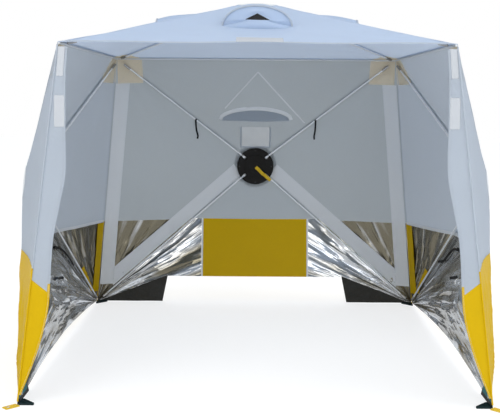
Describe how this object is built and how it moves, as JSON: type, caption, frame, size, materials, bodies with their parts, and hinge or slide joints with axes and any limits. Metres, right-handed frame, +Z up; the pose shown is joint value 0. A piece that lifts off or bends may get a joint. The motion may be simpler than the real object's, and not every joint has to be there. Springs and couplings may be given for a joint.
{
  "type": "welding tent",
  "caption": "Open-front pop-up work tent with three hub-tensioned walls, a raised roof, roof vent hoods and a lower band of heat-resistant cloth.",
  "frame": {"origin": "On the ground, at the middle of the box round the pegged tent.", "axes": "+Z up; the open front faces -Y; +X is to the right for someone who looks in."},
  "size_m": [2.9774, 2.8076, 2.2],
  "materials": {
    "roof_cloth": "coated polyester",
    "white_cloth": "coated polyester",
    "foil_cloth": "aluminised heat-resistant cloth",
    "yellow_cloth": "coated heat-resistant cloth",
    "band_cloth": "folded polyester band",
    "black_cloth": "coated cloth and webbing",
    "hub_plastic": "moulded, satin",
    "rod_white": "glass-fibre rod, smooth",
    "webbing": "woven webbing",
    "patch_cloth": "reinforcement cloth",
    "vent_mesh": "insect mesh",
    "pocket_film": "soft clear film",
    "foot_teal": "moulded corner foot"
  },
  "bodies": {
    "root": {"back_lower_left": "foil_cloth", "back_lower_right": "foil_cloth", "back_vent": "vent_mesh", "back_wall": "white_cloth", "corner_band_left": "band_cloth", "corner_band_right": "band_cloth", "document_pocket": "pocket_film", "foot_front_left": "foot_teal", "foot_front_right": "foot_teal", "foot_rear_left": "foot_teal", "foot_rear_right": "foot_teal", "front_flange_left_lower": "yellow_cloth", "front_flange_left_upper": "white_cloth", "front_flange_right_lower": "yellow_cloth", "front_flange_right_upper": "white_cloth", "ground_flap_left": "black_cloth", "ground_flap_right": "black_cloth", "left_lower": "foil_cloth", "left_wall": "white_cloth", "right_lower": "foil_cloth", "right_wall": "white_cloth", "rod_sleeve_left": "band_cloth", "rod_sleeve_right": "band_cloth", "roof_canopy": "roof_cloth", "roof_hood_front": "roof_cloth", "roof_hood_left": "roof_cloth", "roof_hood_right": "roof_cloth", "top_pocket_back_left": "patch_cloth", "top_pocket_back_right": "patch_cloth", "top_pocket_left_front": "patch_cloth", "top_pocket_left_rear": "patch_cloth", "top_pocket_right_front": "patch_cloth", "top_pocket_right_rear": "patch_cloth"},
    "back_hub": {"back_hub": "hub_plastic", "back_pull_strap": "webbing"},
    "back_rod_lower_right": {"back_rod_lower_right": "rod_white"},
    "back_rod_lower_left": {"back_rod_lower_left": "rod_white"},
    "back_rod_upper_left": {"back_rod_upper_left": "rod_white", "rod_tie_left": "black_cloth"},
    "back_rod_upper_right": {"back_rod_upper_right": "rod_white", "rod_tie_right": "black_cloth"},
    "left_hub": {"left_hub": "hub_plastic", "left_pull_strap": "webbing"},
    "left_rod_lower_rear": {"left_rod_lower_rear": "rod_white"},
    "left_rod_lower_front": {"left_rod_lower_front": "rod_white"},
    "left_rod_upper_front": {"left_rod_upper_front": "rod_white"},
    "left_rod_upper_rear": {"left_rod_upper_rear": "rod_white"},
    "right_hub": {"right_hub": "hub_plastic", "right_pull_strap": "webbing"},
    "right_rod_lower_front": {"right_rod_lower_front": "rod_white"},
    "right_rod_lower_rear": {"right_rod_lower_rear": "rod_white"},
    "right_rod_upper_rear": {"right_rod_upper_rear": "rod_white"},
    "right_rod_upper_front": {"right_rod_upper_front": "rod_white"},
    "roof_hub": {"roof_hub": "hub_plastic", "roof_pull_strap": "webbing"},
    "roof_rod_front_left": {"roof_rod_front_left": "rod_white"},
    "roof_rod_front_right": {"roof_rod_front_right": "rod_white"},
    "roof_rod_rear_right": {"roof_rod_rear_right": "rod_white"},
    "roof_rod_rear_left": {"roof_rod_rear_left": "rod_white"},
    "back_flap": {"back_flap": "yellow_cloth"}
  },
  "joints": [
    {"name": "back_hub_slide", "type": "slide", "parent": "root", "child": "back_hub", "axis": [0, -0.9942, -0.1073], "range_m": [0, 0.306]},
    {"name": "back_rod_lower_right_hinge", "type": "hinge", "parent": "back_hub", "child": "back_rod_lower_right", "pos_m": [0.08837, 1.36163, 0.99409], "axis": [0.6399, -0.0824, 0.764], "range_deg": [0, 11.98]},
    {"name": "back_rod_lower_left_hinge", "type": "hinge", "parent": "back_hub", "child": "back_rod_lower_left", "pos_m": [-0.08837, 1.36163, 0.99409], "axis": [0.6399, 0.0824, -0.764], "range_deg": [0, 11.98]},
    {"name": "back_rod_upper_left_hinge", "type": "hinge", "parent": "back_hub", "child": "back_rod_upper_left", "pos_m": [-0.08837, 1.34585, 1.14042], "axis": [-0.6399, 0.0824, -0.764], "range_deg": [0, 14.67]},
    {"name": "back_rod_upper_right_hinge", "type": "hinge", "parent": "back_hub", "child": "back_rod_upper_right", "pos_m": [0.08837, 1.34585, 1.14042], "axis": [-0.6399, -0.0824, 0.764], "range_deg": [0, 14.67]},
    {"name": "left_hub_slide", "type": "slide", "parent": "root", "child": "left_hub", "axis": [0.9942, 0, -0.1073], "range_m": [0, 0.306]},
    {"name": "left_rod_lower_rear_hinge", "type": "hinge", "parent": "left_hub", "child": "left_rod_lower_rear", "pos_m": [-1.4465, 0.00351, 0.99409], "axis": [0.0824, 0.6399, 0.764], "range_deg": [0, 11.98]},
    {"name": "left_rod_lower_front_hinge", "type": "hinge", "parent": "left_hub", "child": "left_rod_lower_front", "pos_m": [-1.4465, -0.17323, 0.99409], "axis": [-0.0824, 0.6399, -0.764], "range_deg": [0, 11.98]},
    {"name": "left_rod_upper_front_hinge", "type": "hinge", "parent": "left_hub", "child": "left_rod_upper_front", "pos_m": [-1.43071, -0.17323, 1.14042], "axis": [-0.0824, -0.6399, -0.764], "range_deg": [0, 14.67]},
    {"name": "left_rod_upper_rear_hinge", "type": "hinge", "parent": "left_hub", "child": "left_rod_upper_rear", "pos_m": [-1.43071, 0.00351, 1.14042], "axis": [0.0824, -0.6399, 0.764], "range_deg": [0, 14.67]},
    {"name": "right_hub_slide", "type": "slide", "parent": "root", "child": "right_hub", "axis": [-0.9942, 0, -0.1073], "range_m": [0, 0.306]},
    {"name": "right_rod_lower_front_hinge", "type": "hinge", "parent": "right_hub", "child": "right_rod_lower_front", "pos_m": [1.4465, -0.17323, 0.99409], "axis": [-0.0824, -0.6399, 0.764], "range_deg": [0, 11.98]},
    {"name": "right_rod_lower_rear_hinge", "type": "hinge", "parent": "right_hub", "child": "right_rod_lower_rear", "pos_m": [1.4465, 0.00351, 0.99409], "axis": [0.0824, -0.6399, -0.764], "range_deg": [0, 11.98]},
    {"name": "right_rod_upper_rear_hinge", "type": "hinge", "parent": "right_hub", "child": "right_rod_upper_rear", "pos_m": [1.43071, 0.00351, 1.14042], "axis": [0.0824, 0.6399, -0.764], "range_deg": [0, 14.67]},
    {"name": "right_rod_upper_front_hinge", "type": "hinge", "parent": "right_hub", "child": "right_rod_upper_front", "pos_m": [1.43071, -0.17323, 1.14042], "axis": [-0.0824, 0.6399, 0.764], "range_deg": [0, 14.67]},
    {"name": "roof_hub_slide", "type": "slide", "parent": "root", "child": "roof_hub", "axis": [0, 0, -1], "range_m": [0, 0.266]},
    {"name": "roof_rod_front_left_hinge", "type": "hinge", "parent": "roof_hub", "child": "roof_rod_front_left", "pos_m": [-0.08132, -0.16618, 2.162], "axis": [-0.7071, 0.7071, 0], "range_deg": [0, 11.57]},
    {"name": "roof_rod_front_right_hinge", "type": "hinge", "parent": "roof_hub", "child": "roof_rod_front_right", "pos_m": [0.08132, -0.16618, 2.162], "axis": [-0.7071, -0.7071, 0], "range_deg": [0, 11.57]},
    {"name": "roof_rod_rear_right_hinge", "type": "hinge", "parent": "roof_hub", "child": "roof_rod_rear_right", "pos_m": [0.08132, -0.00354, 2.162], "axis": [0.7071, -0.7071, 0], "range_deg": [0, 11.57]},
    {"name": "roof_rod_rear_left_hinge", "type": "hinge", "parent": "roof_hub", "child": "roof_rod_rear_left", "pos_m": [-0.08132, -0.00354, 2.162], "axis": [0.7071, 0.7071, 0], "range_deg": [0, 11.57]},
    {"name": "back_flap_hinge", "type": "hinge", "parent": "root", "child": "back_flap", "pos_m": [0, 1.32708, 0.6497], "axis": [1, 0, 0], "range_deg": [0, 150]}
  ],
  "couplings": [
    {"joint": "back_rod_lower_right_hinge", "follows": "back_hub_slide", "rad_per_m": 0.68263},
    {"joint": "back_rod_lower_left_hinge", "follows": "back_hub_slide", "rad_per_m": 0.68263},
    {"joint": "back_rod_upper_left_hinge", "follows": "back_hub_slide", "rad_per_m": 0.83633},
    {"joint": "back_rod_upper_right_hinge", "follows": "back_hub_slide", "rad_per_m": 0.83633},
    {"joint": "left_rod_lower_rear_hinge", "follows": "left_hub_slide", "rad_per_m": 0.68263},
    {"joint": "left_rod_lower_front_hinge", "follows": "left_hub_slide", "rad_per_m": 0.68263},
    {"joint": "left_rod_upper_front_hinge", "follows": "left_hub_slide", "rad_per_m": 0.83633},
    {"joint": "left_rod_upper_rear_hinge", "follows": "left_hub_slide", "rad_per_m": 0.83633},
    {"joint": "right_rod_lower_front_hinge", "follows": "right_hub_slide", "rad_per_m": 0.68263},
    {"joint": "right_rod_lower_rear_hinge", "follows": "right_hub_slide", "rad_per_m": 0.68263},
    {"joint": "right_rod_upper_rear_hinge", "follows": "right_hub_slide", "rad_per_m": 0.83633},
    {"joint": "right_rod_upper_front_hinge", "follows": "right_hub_slide", "rad_per_m": 0.83633},
    {"joint": "roof_rod_front_left_hinge", "follows": "roof_hub_slide", "rad_per_m": 0.7588},
    {"joint": "roof_rod_front_right_hinge", "follows": "roof_hub_slide", "rad_per_m": 0.7588},
    {"joint": "roof_rod_rear_right_hinge", "follows": "roof_hub_slide", "rad_per_m": 0.7588},
    {"joint": "roof_rod_rear_left_hinge", "follows": "roof_hub_slide", "rad_per_m": 0.7588}
  ]
}
